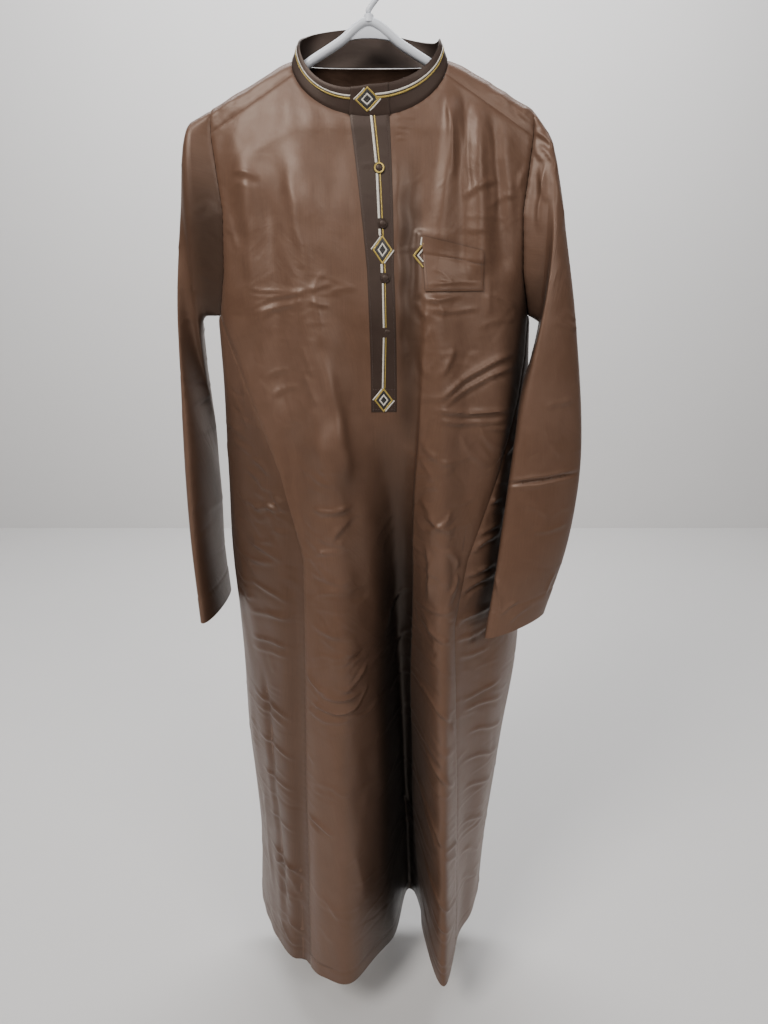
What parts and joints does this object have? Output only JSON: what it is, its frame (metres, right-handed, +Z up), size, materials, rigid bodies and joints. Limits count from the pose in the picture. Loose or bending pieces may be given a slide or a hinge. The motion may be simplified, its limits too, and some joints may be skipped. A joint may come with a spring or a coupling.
{
  "type": "thobe on hanger",
  "caption": "Ankle-length brown satin robe with stand collar, button placket, chest pocket and long set-in sleeves, hung on a plastic hanger by its hook",
  "frame": {"origin": "point on the inside of the hook's crown where a rail bears", "axes": "+Z up, front of the robe toward -Y, +X toward the wearer's left"},
  "size_m": [0.6041, 0.2744, 1.5891],
  "materials": {
    "satin": "brown polyester satin with a soft sheen and packing creases",
    "trim": "the same satin, interlined, with white and gold piping and nested diamonds",
    "button": "round button covered with the same satin",
    "hanger": "white moulded plastic, lightly glossy"
  },
  "bodies": {
    "root": {"front_panel": "satin", "back_panel": "satin", "yoke": "satin", "gore_left": "satin", "gore_right": "satin", "sleeve_left": "satin", "sleeve_right": "satin", "collar_band": "trim", "collar_tab": "trim", "placket": "trim", "chest_pocket": "satin", "button_1": "button", "button_2": "button", "button_3": "button", "button_4": "button", "hanger_body": "hanger", "hanger_hook": "hanger"}
  },
  "joints": []
}
